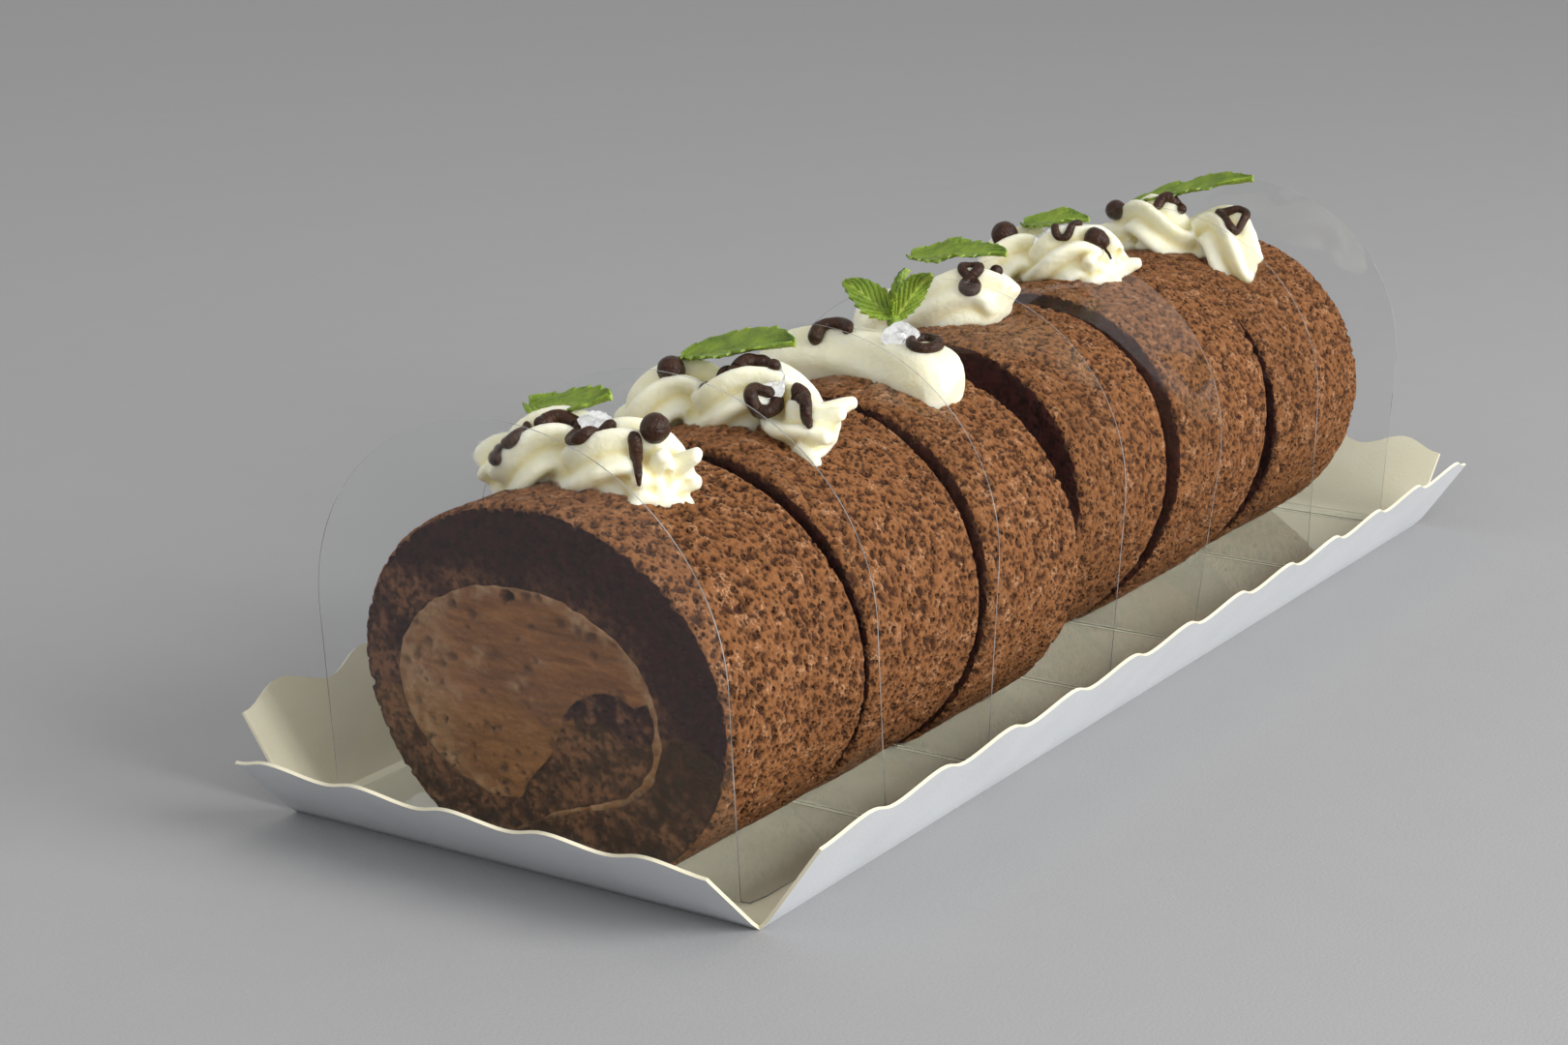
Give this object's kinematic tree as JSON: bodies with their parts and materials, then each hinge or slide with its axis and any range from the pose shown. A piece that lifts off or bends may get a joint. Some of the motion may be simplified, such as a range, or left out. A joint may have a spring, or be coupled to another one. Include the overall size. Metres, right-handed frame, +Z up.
{
  "type": "swiss roll cake",
  "caption": "Chocolate swiss roll cut into slices with clear arched dividers, piped cream, chocolate curls and mint, in a folded card case.",
  "frame": {"origin": "underside of the card case, at its centre, so the part stands on Z = 0", "axes": "+Y runs along the roll away from its front cut face, +X to the right of that face, +Z up"},
  "size_m": [0.1258, 0.3108, 0.0846],
  "materials": {
    "card": "smooth white card, matt, with a cream-coloured cut edge",
    "clear_film": "clear glossy film",
    "sponge": "reddish-brown chocolate sponge skin with open pores, darker aubergine-brown crumb at the cut",
    "filling": "light milk-chocolate cream, smeared by the knife",
    "whipped_cream": "soft ivory whipped cream",
    "dark_chocolate": "glossy dark chocolate",
    "mint": "fresh mint leaf with raised veins",
    "silver_flake": "crumpled edible silver flake"
  },
  "bodies": {
    "root": {"paper_case": "card", "film_0": "clear_film", "film_1": "clear_film", "film_2": "clear_film", "film_3": "clear_film", "film_4": "clear_film", "film_5": "clear_film", "film_6": "clear_film", "sponge_1": "sponge", "sponge_2": "sponge", "sponge_3": "sponge", "sponge_4": "sponge", "sponge_5": "sponge", "sponge_6": "sponge", "filling_1": "filling", "filling_2": "filling", "filling_3": "filling", "filling_4": "filling", "filling_5": "filling", "filling_6": "filling", "cream_1": "whipped_cream", "cream_2": "whipped_cream", "cream_3": "whipped_cream", "cream_4": "whipped_cream", "cream_5": "whipped_cream", "cream_6": "whipped_cream", "chocolate_1_zigzag": "dark_chocolate", "chocolate_1_arc": "dark_chocolate", "chocolate_1_hook": "dark_chocolate", "chocolate_1_bead": "dark_chocolate", "chocolate_1_stick": "dark_chocolate", "chocolate_2_bead_left": "dark_chocolate", "chocolate_2_bead_mid": "dark_chocolate", "chocolate_2_arc": "dark_chocolate", "chocolate_2_cup": "dark_chocolate", "chocolate_2_stick": "dark_chocolate", "chocolate_3_arc": "dark_chocolate", "chocolate_3_ring": "dark_chocolate", "chocolate_4_arc": "dark_chocolate", "chocolate_4_eight": "dark_chocolate", "chocolate_4_bead": "dark_chocolate", "chocolate_5_bead_left": "dark_chocolate", "chocolate_5_bead_mid": "dark_chocolate", "chocolate_5_bead_right": "dark_chocolate", "chocolate_6_bead_left": "dark_chocolate", "chocolate_6_bead_mid": "dark_chocolate", "chocolate_6_loop": "dark_chocolate", "mint_1": "mint", "mint_2": "mint", "mint_3": "mint", "mint_4": "mint", "mint_5": "mint", "mint_6": "mint"}
  },
  "joints": []
}
